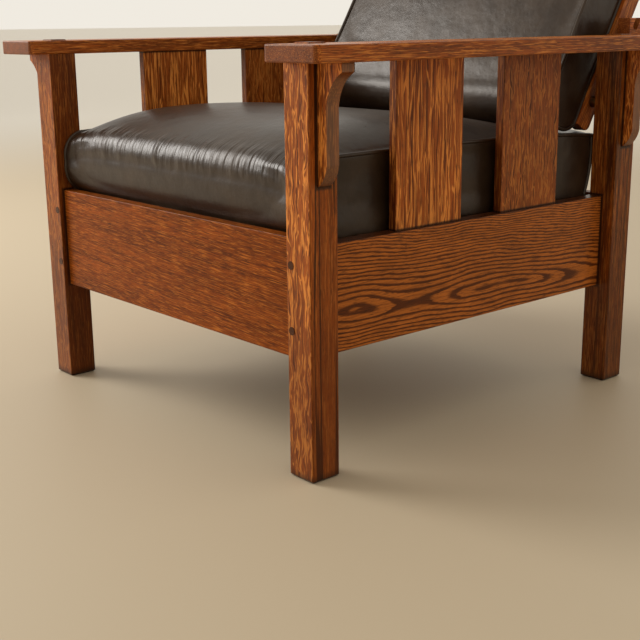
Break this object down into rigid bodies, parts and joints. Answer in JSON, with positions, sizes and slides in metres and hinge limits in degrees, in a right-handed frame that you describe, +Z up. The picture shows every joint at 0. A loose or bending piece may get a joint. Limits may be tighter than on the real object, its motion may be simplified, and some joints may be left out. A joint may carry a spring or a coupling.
{
  "type": "reclining armchair",
  "caption": "Oak armchair with slatted sides, corbelled flat arms, loose leather cushions, and a hinged slatted back that leans on an adjusting rod in notched racks.",
  "frame": {"origin": "on the floor, at the middle of the chair's whole footprint box with its back reclined", "axes": "+X to the sitter's left, -Y the way the chair faces, +Z up"},
  "size_m": [0.8604, 1.0791, 1.0621],
  "materials": {
    "quartered_oak": "fumed quarter-sawn oak, satin shellac and wax",
    "plain_oak": "fumed plain-sawn oak, satin shellac and wax",
    "inner_wood": "bare secondary wood, sawn",
    "dark_pegs": "dark oak end grain",
    "seat_leather": "dark brown leather, soft sheen",
    "back_leather": "dark brown leather, soft sheen",
    "jute": "woven jute webbing",
    "rod_brass": "aged brass",
    "hardware_steel": "dull steel"
  },
  "bodies": {
    "frame": {"front_post_left": "quartered_oak", "rear_post_left": "quartered_oak", "side_rail_left": "plain_oak", "arm_left": "quartered_oak", "corbel_front_left": "plain_oak", "corbel_rear_left": "plain_oak", "ledger_left": "inner_wood", "rack_left": "plain_oak", "side_slat_front_left": "quartered_oak", "side_slat_rear_left": "quartered_oak", "front_post_right": "quartered_oak", "rear_post_right": "quartered_oak", "side_rail_right": "plain_oak", "arm_right": "quartered_oak", "corbel_front_right": "plain_oak", "corbel_rear_right": "plain_oak", "ledger_right": "inner_wood", "rack_right": "plain_oak", "side_slat_front_right": "quartered_oak", "side_slat_rear_right": "quartered_oak", "front_rail": "quartered_oak", "rear_rail": "quartered_oak", "front_pegs": "dark_pegs", "rear_pegs": "dark_pegs", "ledger_screws": "hardware_steel", "rack_screws": "hardware_steel", "seat_member_front": "inner_wood", "seat_member_rear": "inner_wood", "seat_member_left": "inner_wood", "seat_member_right": "inner_wood", "seat_webbing": "jute", "seat_cushion": "seat_leather", "hinge_bolt_left": "hardware_steel", "hinge_spacer_left": "rod_brass", "hinge_bolt_right": "hardware_steel", "hinge_spacer_right": "rod_brass"},
    "back": {"back_stile_left": "quartered_oak", "back_stile_right": "quartered_oak", "back_rail_bottom": "plain_oak", "back_rail_top": "plain_oak", "back_slat_1": "quartered_oak", "back_slat_2": "quartered_oak", "back_slat_3": "quartered_oak", "back_slat_4": "quartered_oak", "back_cushion": "back_leather"},
    "rod": {"adjusting_rod": "rod_brass"}
  },
  "joints": [
    {"name": "back_recline", "type": "hinge", "parent": "frame", "child": "back", "pos_m": [0, 0.20561, 0.4969], "axis": [1, 0, 0], "range_deg": [0, 19.3]},
    {"name": "rod_lift", "type": "slide", "parent": "frame", "child": "rod", "axis": [0, 0.515, 0.8572], "range_m": [0, 0.026]}
  ]
}
